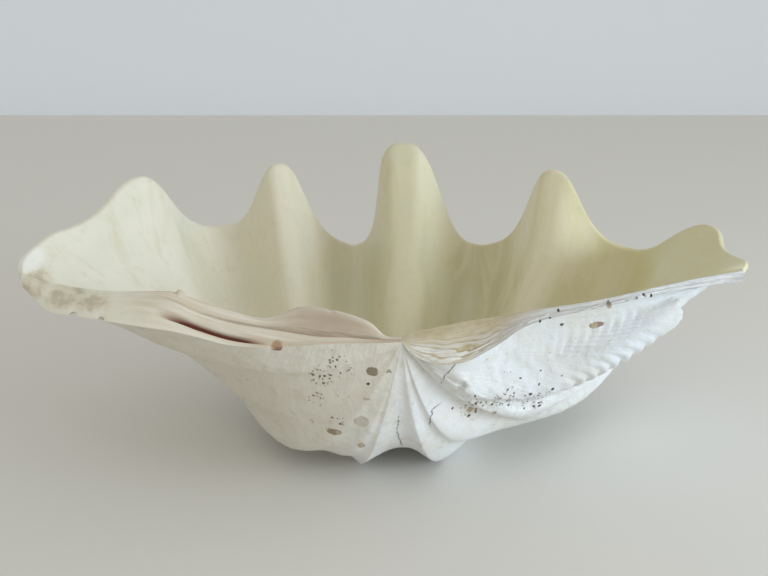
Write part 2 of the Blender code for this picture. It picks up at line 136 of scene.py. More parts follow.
# Share of the way from the outer edge to the hollow at each line
FRONT_SLOPE = (0.0, 0.18, 0.36, 0.55, 0.77, 1.0)
TOP = len(FRONT_SLOPE) - 1
# Spokes over which the fold fades into a dorsal margin
CORNER = 0.55

# Wall at the margin, and the hollow's distance from the outside
RIM_THICKNESS = 0.009
THICKENING_START = 0.5
RIM_ROUNDING = 0.35
HOLLOW_START = (0.000, 0.022, -0.003)
HOLLOW_FOCUS = (0.0, 0.200, 0.060)
HOLLOW_INSET_UMBO = 0.034
HOLLOW_INSET_WALL = 0.020
HOLLOW_FOLD_UMBO = 0.15
HOLLOW_FOLD_WALL = 0.85
MARGIN_FADE = 3.0

# Growth ledges: spoke, reach in spokes, share of the way to the margin, its change per spoke, height
LEDGES = (
    (1.1, 0.9, 0.71, -0.09, 0.011), (3.0, 0.8, 0.67, 0.0, 0.009), (3.0, 0.8, 0.88, 0.0, 0.004),
    (5.0, 0.7, 0.80, 0.0, 0.004), (7.0, 0.7, 0.76, 0.0, 0.004), (9.0, 0.8, 0.84, 0.0, 0.004),
    (11.0, 0.9, 0.70, 0.0, 0.003),
)
# Shares over which a ledge climbs, and over which it breaks off
LEDGE_RUN = 0.40
LEDGE_BREAK = 0.03
# Ruffles are sums of noises: size, waves per spoke, waves from umbo to margin, seed
LEDGE_RUFFLE = ((0.010, 9, 70, 3), (0.007, 31, 70, 4))
# Swellings: spoke, share of the way to the margin, reach in spokes and in shares, height
SWELLINGS = (
    (1.4, 0.15, 0.50, 0.05, 0.003), (2.6, 0.30, 0.40, 0.06, 0.003), (9.6, 0.42, 0.7, 0.10, 0.003),
    (0.55, 0.155, 0.20, 0.022, 0.003),
)

# Growth lines: number from umbo to margin, heights, and how they turn along the front margin
GROWTH_LINES = 30
LINE_HEIGHT = 0.00035
LINE_HEIGHT_FRONT = 0.0005
LINE_HEIGHT_REAR = 0.0004
LINE_STEEPNESS = 1.6
LINE_PHASE = ((0.9, 1.1, 7, 11), (0.25, 5, 20, 12))
LINE_STRENGTH = ((0.45, 2.3, 9, 13),)
TURN_SPOKE = 1.15
TURN_STRENGTH = 0.35
# Ripples beside the front margin, lumps to the right of the umbo, rough ground all over.
# A stretch is where it starts, is full, fades and ends, in shares or spokes.
RIPPLES = 31
RIPPLE_HEIGHT = 0.0032
RIPPLE_PHASE = ((0.3, 2, 9, 21),)
RIPPLED_SHARES = (0.36, 0.46, 0.62, 0.70)
RIPPLED_SPOKES = (0.15, 0.50, 1.20, 1.90)
LUMPS = ((0.0011, 4, 28, 33), (0.0006, 11, 70, 34))
LUMPY_SHARES = (0.07, 0.13, 0.34, 0.46)
LUMPY_SPOKES = (0.10, 0.40, 1.90, 2.40)
ROUGHNESS = ((0.0004, 6, 40, 31), (0.0006, 2, 14, 32))
# The relief as a whole is sunk, so that none of it stands above the ledges
RELIEF_SINK = 0.0010
RELIEF_SHARES = (0.02, 0.12, 0.96, 1.0)

# Front slope: number of layers, their steps near the outer edge and elsewhere, swell beside the hollow
SLOPE_LAYERS = 9
SLOPE_STEP_OUTER = 0.0016
SLOPE_STEP = 0.0005
SLOPE_SWELL = 0.0015
SLOPE_SHARES = (0.02, 0.12, 0.93, 1.0)
# Behind the umbo: line, half width in lines, depth and stretch of the ligament slit and of the furrow
SLIT = (1.0, 0.20, 0.0050, (0.31, 0.44, 0.56, 0.63))
FURROW = (3.0, 0.25, 0.0022, (0.03, 0.10, 0.50, 0.60))
END_RIPPLE = 0.0009
END_SHARES = (0.62, 0.72, 0.94, 1.0)

# Grid of the finished surface
ROWS = 150
COLUMNS = 20
LINE_STEPS = 6
# Steps for the sheet's slopes, and the share from which on its normal is taken
STEP_ALONG = 0.0005
STEP_ACROSS = 0.01
STEP_FORWARD = 0.01
NORMAL_FROM = 0.05
# Distance over which points past the solid's box are drawn in
BOX_EASE = 0.04
SHARP_ANGLE = 70.0
# Measures stored on the mesh: share of the way to the margin, spoke number, line of a dorsal face
FACTS = ("share", "spoke", "line")
# Material of each grid: outside, hollow, rim, front dorsal face, rear dorsal face
GRID_MATERIALS = (0, 1, 1, 2, 3)

# The spokes by columns, and which way the fold swings at each; the dorsal margins are first and last
RIM = np.array([spoke[1] for spoke in SPOKES])
HANDLE_UMBO = np.array([spoke[2] for spoke in SPOKES])
HANDLE_WALL = np.array([spoke[3] for spoke in SPOKES])
KINDS = {"rib": -1.0, "furrow": 1.0, "edge": 0.0}
SIDE = np.array([0.0] + [KINDS[spoke[0]] for spoke in SPOKES] + [0.0])
LAST = len(SPOKES) + 1
UMBO = np.zeros(3)

# Scars and stains: place from the umbo, half sizes across and down, how dark
SCARS = (
    ((-0.027, 0.002, -0.029), (0.0060, 0.0050), 0.85),
    ((-0.063, 0.025, -0.098), (0.0085, 0.0040), 0.90),
    ((-0.037, 0.014, -0.083), (0.0075, 0.0075), 0.45),
    ((-0.037, 0.029, -0.114), (0.0040, 0.0045), 0.80),
    ((0.182, 0.049, -0.001), (0.0095, 0.0030), 0.95),
    ((0.193, 0.054, 0.017), (0.0024, 0.0042), 0.95),
    ((0.087, 0.029, -0.081), (0.0028, 0.0026), 0.85),
    ((0.065, 0.035, -0.080), (0.0038, 0.0030), 0.90),
    ((-0.012, 0.001, -0.028), (0.0024, 0.0018), 0.80),
    ((-0.032, 0.005, -0.057), (0.0034, 0.0018), 0.60),
)
# Borer holes: place from the umbo, radius
HOLES = (
    ((-0.030, 0.004, -0.041), 0.0012), ((0.066, 0.001, -0.052), 0.0011), ((0.068, 0.017, -0.066), 0.0012),
    ((0.048, 0.024, -0.074), 0.0013), ((0.070, 0.040, -0.084), 0.0012), ((0.064, 0.037, -0.087), 0.0012),
    ((0.060, 0.031, -0.075), 0.0011), ((0.113, 0.012, -0.057), 0.0012), ((0.118, 0.014, -0.056), 0.0013),
    ((0.126, 0.016, -0.047), 0.0012), ((0.139, 0.021, -0.054), 0.0013), ((0.100, 0.030, -0.074), 0.0012),
    ((0.087, 0.006, -0.058), 0.0011), ((0.084, 0.022, -0.069), 0.0013), ((0.131, 0.050, -0.082), 0.0012),
    ((0.131, 0.048, -0.078), 0.0011), ((0.126, 0.046, -0.082), 0.0013), ((0.116, 0.040, -0.081), 0.0012),
    ((0.136, 0.080, -0.103), 0.0011), ((0.127, 0.074, -0.105), 0.0012), ((0.127, 0.019, -0.035), 0.0009),
    ((0.108, 0.012, -0.039), 0.0009), ((0.147, 0.024, -0.042), 0.0011), ((0.096, 0.006, -0.049), 0.0010),
    ((0.135, 0.032, 0.012), 0.0012), ((0.147, 0.037, 0.004), 0.0012), ((0.126, 0.028, 0.010), 0.0012),
    ((0.145, 0.047, 0.014), 0.0011), ((0.228, 0.073, 0.022), 0.0012), ((0.236, 0.073, 0.021), 0.0012),
)
# The ones of them that lie on the front slope
SLOPE_SCARS = SCARS[4:6]
SLOPE_HOLES = HOLES[24:]
# Patches of fine brown pitting: place from the umbo, radius
PITTED = (
    ((-0.073, 0.012, -0.037), 0.013), ((-0.059, 0.002, -0.020), 0.011), ((-0.052, 0.006, -0.030), 0.009),
    ((-0.054, 0.010, -0.054), 0.007), ((-0.079, 0.020, -0.063), 0.009), ((-0.060, 0.020, -0.085), 0.008),
    ((0.068, 0.026, -0.074), 0.016), ((0.096, 0.016, -0.060), 0.016), ((0.126, 0.036, -0.070), 0.018),
)
# Cracks: points from the umbo
CRACKS = (
    ((0.037, 0.016, -0.064), (0.028, 0.011, -0.070), (0.026, 0.019, -0.088)),
    ((0.048, -0.004, -0.019), (0.038, -0.004, -0.031), (0.036, 0.006, -0.042)),
    ((-0.002, 0.013, -0.078), (-0.004, 0.019, -0.092), (-0.003, 0.027, -0.103), (0.002, 0.051, -0.125)),
)
# Worn brownish patches at the rear end, and its white knob
WORN = (
    ((-0.338, 0.050, 0.039), (0.016, 0.014)), ((-0.308, 0.045, 0.031), (0.020, 0.011)),
    ((-0.280, 0.036, 0.026), (0.020, 0.007)),
)
KNOB = (((-0.350, 0.078, 0.055), (0.016, 0.012)),)
# Bruise round the chip in the outer edge behind the umbo
BRUISE = (((-0.112, 0.002, -0.006), 0.006),)
# How far outlines of marks are shaken, and how much depth counts beside width in a mark
MARK_SHAKE = 0.004
WORN_SHAKE = 0.009
DEPTH_WEIGHT = 0.35
MILLIMETRE = 0.001
# Dents and chips: place from the umbo, radius, push; their outlines waver
DENT_WAVER = 0.25
DENT_WAVES_PER_METRE = 260
DENTS = (
    ((-0.112, -0.003, -0.003), 0.0060, (0.000, 0.004, -0.0050)),
    ((-0.330, 0.030, 0.018), 0.0060, (0.001, 0.003, 0.0035)),
    ((-0.296, 0.021, 0.016), 0.0050, (0.000, 0.003, 0.0025)),
    ((-0.270, 0.014, 0.015), 0.0040, (0.000, 0.003, 0.0020)),
    ((-0.064, 0.031, 0.0205), 0.0035, (0.000, 0.000, -0.0020)),
    ((-0.203, 0.047, 0.030), 0.0050, (0.000, 0.000, 0.0040)),
    ((0.052, 0.000, -0.040), 0.0060, (0.001, 0.003, 0.000)),
)

# Colours as display values from 0 to 255
COLOURS = {
    "olive": (216, 209, 164), "dull olive": (210, 203, 166), "cream": (230, 223, 194),
    "pale cream": (228, 222, 200), "ivory": (237, 234, 219), "green grey": (218, 219, 198),
    "mottle": (204, 196, 164), "dark fleck": (172, 162, 124), "streak": (212, 198, 162),
    "hair streak": (196, 186, 150), "lobe shade": (196, 194, 158), "hollow shade": (198, 186, 146),
    "chalk": (236, 239, 241), "warm shade chalk": (230, 226, 214), "grey chalk": (208, 212, 214),
    "tan chalk": (212, 204, 184), "growth ring": (206, 201, 186), "chalk mottle": (203, 195, 175),
    "worn brown": (176, 162, 130), "worn cream": (222, 212, 188), "knob white": (245, 245, 240),
    "scar brown": (118, 96, 66), "scar tan": (184, 168, 138), "borer hole": (78, 62, 46),
    "pit": (116, 90, 60), "speck": (130, 112, 86), "crack": (112, 94, 72),
    "slope tan": (206, 192, 156), "slope cream": (222, 210, 184), "layer foot": (204, 186, 150),
    "layer top": (238, 236, 230), "slope white lifting shade": (250, 251, 250), "slope line": (170, 156, 128),
    "hinge pale": (232, 225, 211), "hinge tan": (214, 200, 178), "tooth shade": (186, 168, 146),
    "tooth highlight": (242, 238, 228), "hinge edge": (236, 231, 216), "beak": (184, 158, 124),
    "furrow brown": (146, 118, 84), "nymph brown": (186, 146, 104), "ligament": (104, 40, 12),
    "bruise": (176, 134, 98), "floor": (226, 224, 219), "backdrop": (240, 246, 252),
    "room": (238, 236, 229),
}

# Stage: reach of the floor, its bend into the backdrop, window light, room light and camera
FLOOR_REACH = 6.0
BEND_START = 2.2
BEND_RADIUS = 0.8
BEND_POINTS = 13
BACKDROP_TOP = 4.0
WINDOW_PLACE = (1.80, -0.85, 0.45)
WINDOW_AIM = (0.0, 0.0, 0.12)
WINDOW_SIZE = (1.2, 0.8)
WINDOW_WATTS = 25.0
WINDOW_COLOUR = (0.74, 0.87, 1.0)
ROOM_STRENGTH = 0.73
CAMERA_PLACE = (-0.0083, -1.2116, 0.521)
CAMERA_TILT = 73.0
CAMERA_LENS = 55.4
CAMERA_SENSOR = 36.0


def ease(low, high, value):
    """0 below low, 1 above high, smooth between."""
    u = np.clip((value - low) / (high - low), 0.0, 1.0)
    return u * u * (3.0 - 2.0 * u)


def window(value, start, full, fade, end):
    """0 before start and after end, 1 from full to fade, smooth between."""
    return ease(start, full, value) * (1.0 - ease(fade, end, value))


def wave(u):
    """Cosine wave, 0 at even numbers and 1 at odd ones."""
    return (1.0 - np.cos(np.pi * u)) / 2.0


def evened(rows):
    """Rows drawn to the mean of themselves and their neighbours; the end rows stay."""
    even = rows.copy()
    even[1:-1] = (rows[:-2] + 2 * rows[1:-1] + rows[2:]) / 4
    return even


def extended(rows):
    """Rows with one more before and after, in line with the end ones."""
    return np.concatenate([2 * rows[:1] - rows[1:2], rows, 2 * rows[-1:] - rows[-2:-1]])


def catmull(a, b, c, d, u):
    """Smooth curve from b to c with a before and d after."""
    return b + 0.5 * u * (c - a + u * (2 * a - 5 * b + 4 * c - d + u * (3 * (b - c) + d - a)))


def spline(points, at):
    """Smooth curve through the points, read at fractional point numbers."""
    i = np.clip(np.floor(at).astype(int), 0, len(points) - 2)
    padded = extended(points)
    return catmull(padded[i], padded[i + 1], padded[i + 2], padded[i + 3], (at - i)[:, None])


def margin_numbers(reference, s):
    """Point numbers along a dorsal margin at the shares s of its outer edge's length."""
    steps = np.linalg.norm(np.diff(reference, axis=0), axis=1)
    length = np.concatenate([[0.0], np.cumsum(steps)])
    return np.interp(s, length / length[-1], np.arange(len(reference)))


def slope_share(line):
    """Share of the way from the outer edge to the hollow on a dorsal face."""
    return np.interp(line, np.arange(TOP + 1), FRONT_SLOPE)


def dorsal(side, line, s):
    """Line 0 (outer edge) to 5 (start of the hollow) of the front or rear dorsal margin."""
    if side == "front":
        outer = np.array(FRONT_OUTER)
        points = outer + (np.array(FRONT_INNER) - outer) * slope_share(line)
        return spline(points, margin_numbers(outer, s))
    numbers = margin_numbers(np.array(REAR_OUTER), s)
    curves = np.stack([spline(np.array(table), numbers) for table in REAR_LINES])
    padded = extended(curves)
    i = min(int(line), TOP - 1)
    return catmull(padded[i], padded[i + 1], padded[i + 2], padded[i + 3], line - i)


def fold_profile(from_rib, s, gap, sharp):
    """0 on a rib, 1 on a furrow; the shape between them changes from umbo to margin."""
    share, power = np.array(LOBE_SHARE)[gap], np.array(LOBE_POWER)[gap]
    leave, reach = np.array(FOLD_SECTION)[gap].T
    rounded = wave(from_rib)
    crested = 1.0 - (1.0 - from_rib ** leave) ** reach
    rise = 1.0 / (1.0 + ((1.0 - from_rib) / share) ** power)
    foot = 1.0 / (1.0 + (1.0 / share) ** power)
    lobed = (rise - foot) / (1.0 - foot)
    early = crested if sharp else rounded
    middle = early + (rounded - early) * ease(ROUNDING_START, ROUNDING_END, s)
    return middle + (lobed - middle) * ease(LOBING_START, 1.0, s)


def spoke_curve(number, s, start, handle_umbo, handle_wall, rim):
    """Points at the shares s of one spoke's cubic curve."""
    t = s[:, None]
    return (
        start * (1 - t) ** 3
        + 3 * handle_umbo[number] * t * (1 - t) ** 2
        + 3 * handle_wall[number] * t * t * (1 - t)
        + rim[number] * t ** 3
    )


def between(rows, theta):
    """Smooth value at theta from one row of points for each spoke."""
    i = np.clip(np.floor(theta).astype(int), 0, LAST - 1)
    u = (theta - i)[:, None]
    padded = extended(rows)
    n = np.arange(len(theta))
    return catmull(padded[i, n], padded[i + 1, n], padded[i + 2, n], padded[i + 3, n], u)


def fan(s, theta, line, start, handle_umbo, handle_wall, rim):
    """Sheet through all spokes: a smooth bowl plus a fold that swings between ribs and furrows."""
    table = (start, handle_umbo, handle_wall, rim)
    spokes = [spoke_curve(number, s, *table) for number in range(len(rim))]
    lines = np.stack([dorsal("front", line, s)] + spokes + [dorsal("rear", line, s)])
    bowl = evened(lines)
    bowl[SIDE == 0] = lines[SIDE == 0]
    swing = (lines - bowl) * SIDE[:, None, None]
    gap = np.clip(np.floor(theta).astype(int), 0, LAST - 1)
    u = theta - gap
    low, high = SIDE[gap], SIDE[gap + 1]
    from_rib = np.where(low < high, u, 1.0 - u)
    share = fold_profile(from_rib, s, gap, line == 0)
    share = np.where(low * high < 0, share, wave(from_rib))
    side = np.minimum(low, high) + np.abs(high - low) * share
    return between(bowl, theta) + between(swing, theta) * side[:, None]


def middle_sheet(s, theta):
    """Folded sheet half way through the wall at the margin."""
    return fan(s, theta, 0, UMBO, HANDLE_UMBO, HANDLE_WALL, RIM)


def from_dorsal(theta):
    """0 at the two dorsal margins, 1 past their corners."""
    return np.clip(np.minimum(theta, LAST - theta) / CORNER, 0.0, 1.0)


def inward(s, theta):
    """Unit normal of the sheet, pointing into the hollow."""
    s = np.maximum(s, NORMAL_FROM)
    s_high = np.minimum(s + STEP_ALONG, 1.0)
    t_low = np.maximum(theta - STEP_ACROSS, 0.0)
    t_high = np.minimum(theta + STEP_ACROSS, LAST)
    along = middle_sheet(s_high, theta) - middle_sheet(s - STEP_ALONG, theta)
    around = middle_sheet(s, t_high) - middle_sheet(s, t_low)
    normal = np.cross(along, around)
    return normal / np.linalg.norm(normal, axis=1)[:, None]


def noise(x, y, z, seed):
    """Smooth random value from -1 to 1."""
    points = np.stack(np.broadcast_arrays(x, y, z), axis=-1).astype(float)
    cell = np.floor(points).astype(np.int64)
    part = points - cell
    part = part * part * (3 - 2 * part)
    total = np.zeros(len(points))
    for corner in range(8):
        step = np.array([(corner >> k) & 1 for k in range(3)])
        place = cell + step
        mixed = (place[:, 0] * 73856093) ^ (place[:, 1] * 19349663) ^ (place[:, 2] * 83492791)
        mixed = (mixed ^ (seed * 97531)) & 0x7FFFFFFF
        mixed = ((mixed ^ (mixed >> 13)) * 1274126177) & 0x7FFFFFFF
        mixed = mixed ^ (mixed >> 15)
        weight = np.prod(np.where(step == 1, part, 1 - part), axis=1)
        total += ((mixed & 0xFFFF) / 32767.5 - 1) * weight
    return total


def ruffle(layers, s, theta):
    """Sum of noises over the sheet."""
    return sum(size * noise(theta * around, s * along, 0, seed) for size, around, along, seed in layers)


def ledges(s, theta):
    """Height of the large ledges and swellings above the folded underside."""
    height = np.zeros_like(s)
    for spoke, reach, middle, slant, top in LEDGES:
        end = middle + slant * (theta - spoke)
        ragged = end + ruffle(LEDGE_RUFFLE, middle, theta)
        across = 1.0 - ease(0.0, reach, np.abs(theta - spoke))
        climb = ease(end - LEDGE_RUN, end - LEDGE_BREAK, s)
        broken = ease(ragged - LEDGE_BREAK / 5, ragged + LEDGE_BREAK / 5, s)
        height += top * across * climb * (1.0 - broken)
    for spoke, share, wide, long, top in SWELLINGS:
        height += top * np.exp(-((theta - spoke) / wide) ** 2 - ((s - share) / long) ** 2)
    return height


def growth(s, theta):
    """Old margins: share of the way out, turned along the front dorsal edge."""
    return s + TURN_STRENGTH * np.maximum(0.0, TURN_SPOKE - theta) ** 2


def lamellae(s, theta):
    """Height of growth lines and ripples, none of it above the ledges."""
    front = 1.0 - ease(2.6, 3.6, theta)
    rear = ease(8.0, 11.0, theta)
    phase = GROWTH_LINES * growth(s, theta) + ruffle(LINE_PHASE, s, theta)
    strength = LINE_HEIGHT + LINE_HEIGHT_FRONT * front + LINE_HEIGHT_REAR * rear
    strength = strength * (0.55 + ruffle(LINE_STRENGTH, s, theta)) * ease(0.10, 0.30, s)
    fine = strength * ((phase % 1.0) ** LINE_STEEPNESS - 1.0)
    rippled = window(s, *RIPPLED_SHARES) * window(theta, *RIPPLED_SPOKES)
    ripple = wave(2 * (RIPPLES * growth(s, theta) + ruffle(RIPPLE_PHASE, s, theta)))
    lumpy = window(s, *LUMPY_SHARES) * window(theta, *LUMPY_SPOKES)
    rough = ruffle(ROUGHNESS, s, theta) * ease(0.1, 0.5, s)
    lumps = lumpy * ruffle(LUMPS, s, theta)
    return fine - RIPPLE_HEIGHT * rippled * ripple + lumps + rough - RELIEF_SINK


def outer_sheet(s, theta):
    """Underside of the shell, worn flat where it stands."""
    half = RIM_THICKNESS / 2.0 * ease(THICKENING_START, 1.0, s)
    fine = lamellae(s, theta) * window(s, *RELIEF_SHARES)
    out = (half + ledges(s, theta) + fine) * from_dorsal(theta)
    points = middle_sheet(s, theta) - inward(s, theta) * out[:, None]
    points[:, 2] = np.maximum(points[:, 2], -UMBO_PLACE[2])
    return points


def hollow_tables():
    """Spoke tables of the hollow: inside the outer ones and with softer folds."""
    tables = []
    for handles, keep, inset in (
        (HANDLE_UMBO, HOLLOW_FOLD_UMBO, HOLLOW_INSET_UMBO),
        (HANDLE_WALL, HOLLOW_FOLD_WALL, HOLLOW_INSET_WALL),
    ):
        even = evened(handles)
        soft = even + (handles - even) * keep
        aim = np.array(HOLLOW_FOCUS) - soft
        tables.append(soft + aim / np.linalg.norm(aim, axis=1)[:, None] * inset)
    return tables


def inner_rim(theta):
    """Inner edge of the margin."""
    one = np.ones_like(theta)
    half = RIM_THICKNESS / 2.0 * from_dorsal(theta)
    return middle_sheet(one, theta) + inward(one, theta) * half[:, None]


def inner_sheet(s, theta):
    """Wall of the hollow."""
    handle_umbo, handle_wall = hollow_tables()
    rim = inner_rim(np.arange(1.0, LAST))
    table = (np.array(HOLLOW_START), handle_umbo, handle_wall, rim)
    missing = inner_rim(theta) - fan(np.ones_like(s), theta, TOP, *table)
    away = np.minimum(theta, LAST - theta)
    strength = s ** MARGIN_FADE * ease(0.0, CORNER, away)
    return fan(s, theta, TOP, *table) + missing * strength[:, None]


def rim_face(theta, line, outside, inside):
    """Rounded edge between the outer and the inner rim."""
    one = np.ones_like(theta)
    across = slope_share(line)
    forward = middle_sheet(one, theta) - middle_sheet(one - STEP_FORWARD, theta)
    forward /= np.linalg.norm(forward, axis=1)[:, None]
    wide = np.linalg.norm(inside - outside, axis=1)
    bulge = wide * RIM_ROUNDING * np.sin(np.pi * across)
    points = outside + (inside - outside) * across + forward * bulge[:, None]
    for side, number in (("front", 0), ("rear", LAST)):
        end = dorsal(side, line, np.ones(1))[0]
        here = points[int(np.argmin(np.abs(theta - number)))]
        reach = 1.0 - ease(0.0, CORNER, np.abs(theta - number))
        points = points + (end - here) * reach[:, None]
    return points


def front_face(line, shares):
    """Inner slope in front of the umbo, stepped by its layers near the outer edge."""
    points = dorsal("front", line, shares)
    across = slope_share(line)
    layers = across * SLOPE_LAYERS + 0.6 * noise(shares * 8, across * 2, 0, 41)
    step = SLOPE_STEP + SLOPE_STEP_OUTER * (1.0 - ease(0.30, 0.50, across))
    crease = step * ((layers % 1.0) ** 2 - 0.5) * np.sin(np.pi * min(across * 4, 0.5))
    crease = crease * (1.0 - ease(0.93, 1.0, across))
    swell = SLOPE_SWELL * 4 * window(across, 0.5, 1.0, 0.5, 1.0)
    points[:, 2] += (crease + swell) * window(shares, *SLOPE_SHARES)
    return points


def rear_face(line, shares):
    """Dorsal face behind the umbo, with its ligament slit and the furrow below the tooth cut deeper."""
    points = dorsal("rear", line, shares)
    for middle, half, depth, stretch in (SLIT, FURROW):
        points[:, 2] -= depth * np.exp(-((line - middle) / half) ** 2) * window(shares, *stretch)
    ripple = END_RIPPLE * noise(shares * 26, line * 2.2, 0, 43) * window(shares, *END_SHARES)
    points[:, 2] += ripple * np.sin(np.pi * line / TOP)
    return points


def shell_points():
    """Vertices of the finished surface, their shares, spokes and lines, and the grids of faces."""
    shares = np.linspace(0.0, 1.0, ROWS + 1)
    thetas = np.linspace(0.0, LAST, LAST * COLUMNS + 1)
    lines = np.linspace(0.0, TOP, TOP * LINE_STEPS + 1)
    rows, width, count = len(shares) - 1, len(thetas), len(lines)
    s_all = np.repeat(shares[1:], width)
    t_all = np.tile(thetas, rows)
    outside = outer_sheet(s_all, t_all)
    inside = inner_sheet(s_all, t_all)
    blocks, facts, start = [], [], 0

    def add(points, s, theta, line):
        """Adds vertices with their measures; returns their numbers."""
        nonlocal start
        blocks.append(points)
        facts.append(np.stack(np.broadcast_arrays(s, theta, line), axis=-1).reshape(-1, len(FACTS)))
        start += len(points)
        return np.arange(start - len(points), start)

    umbo = add(np.array([dorsal("front", line, np.zeros(1))[0] for line in lines]), 0.0, 0.0, lines)
    outer = np.empty((rows + 1, width), int)
    inner = np.empty((rows + 1, width), int)
    outer[0], inner[0] = umbo[0], umbo[-1]
    outer[1:] = add(outside, s_all, t_all, 0.0).reshape(rows, width)
    inner[1:] = add(inside, s_all, t_all, float(TOP)).reshape(rows, width)
    rim = np.empty((count, width), int)
    rim[0], rim[-1] = outer[-1], inner[-1]
    for number in range(1, count - 1):
        face = rim_face(thetas, lines[number], outside[-width:], inside[-width:])
        rim[number] = add(face, 1.0, thetas, lines[number])
    dorsal_grids = []
    for column, theta, build in ((0, 0.0, front_face), (-1, float(LAST), rear_face)):
        table = np.empty((rows + 1, count), int)
        table[0] = umbo
        table[:, 0], table[:, -1] = outer[:, column], inner[:, column]
        table[-1] = rim[:, column]
        for number in range(1, count - 1):
            points = build(lines[number], shares[1:-1])
            table[1:-1, number] = add(points, shares[1:-1], theta, lines[number])
        dorsal_grids.append(table)
    front, rear = dorsal_grids
    grids = (outer, inner[:, ::-1], rim, front[:, ::-1], rear)
    return np.concatenate(blocks), np.concatenate(facts), grids


def quads(grid):
    """Faces of a grid of vertex numbers, with triangles where two corners are the same."""
    a, b = grid[:-1, :-1].ravel(), grid[:-1, 1:].ravel()
    c, d = grid[1:, 1:].ravel(), grid[1:, :-1].ravel()
    made = []
    for corners in zip(a.tolist(), b.tolist(), c.tolist(), d.tolist()):
        unique = list(dict.fromkeys(corners))
        if len(unique) > 2:
            made.append(unique)
    return made


def press(points):
    """Presses dents and chips into the surface."""
    waver = 1.0 + DENT_WAVER * noise(*(points.T * DENT_WAVES_PER_METRE), 51)
    for place, radius, push in DENTS:
        away = np.linalg.norm(points - place, axis=1) / (radius * waver)
        points = points + np.array(push) * (1.0 - ease(0.5, 1.1, away))[:, None]
    return points


def into_box(points):
    """Draws in what stands past the solid's box, gently over the last stretch before it."""
    lowest, highest = np.array(CAD_LOW), np.array(CAD_HIGH)
    middle = (lowest + highest) / 2
    half = (highest - lowest) / 2
    offset = points - middle
    for sign in (1.0, -1.0):
        reach = offset * sign
        past = np.maximum(reach.max(axis=0) - half, 0.0)
        offset = offset - sign * past * ease(half - BOX_EASE, half + past, reach)
    return np.clip(middle + offset, lowest, highest)


def build_shell(materials):
    """One closed mesh with the shell's own measures stored on it for the materials."""
    points, facts, grids = shell_points()
    points = into_box(press(points) + UMBO_PLACE)
    faces, kinds = [], []
    for grid, kind in zip(grids, GRID_MATERIALS):
        made = quads(grid)
        faces += made
        kinds += [kind] * len(made)
    mesh = bpy.data.meshes.new("shell_valve")
    mesh.from_pydata(points.tolist(), [], faces)
    for material in materials:
        mesh.materials.append(material)
    mesh.polygons.foreach_set("material_index", kinds)
    for number, name in enumerate(FACTS):
        layer = mesh.attributes.new(name, "FLOAT", "POINT")
        layer.data.foreach_set("value", facts[:, number].astype(np.float32))
    mesh.polygons.foreach_set("use_smooth", [True] * len(mesh.polygons))
    mesh.set_sharp_from_angle(angle=math.radians(SHARP_ANGLE))
    shell = bpy.data.objects.new("shell_valve", mesh)
    bpy.context.scene.collection.objects.link(shell)
    return shell


def tone(name):
    """Linear colour of a named display colour."""
    linear = []
    for value in COLOURS[name]:
        value /= 255.0
        linear.append(value / 12.92 if value <= 0.04045 else ((value + 0.055) / 1.055) ** 2.4)
    return (*linear, 1.0)


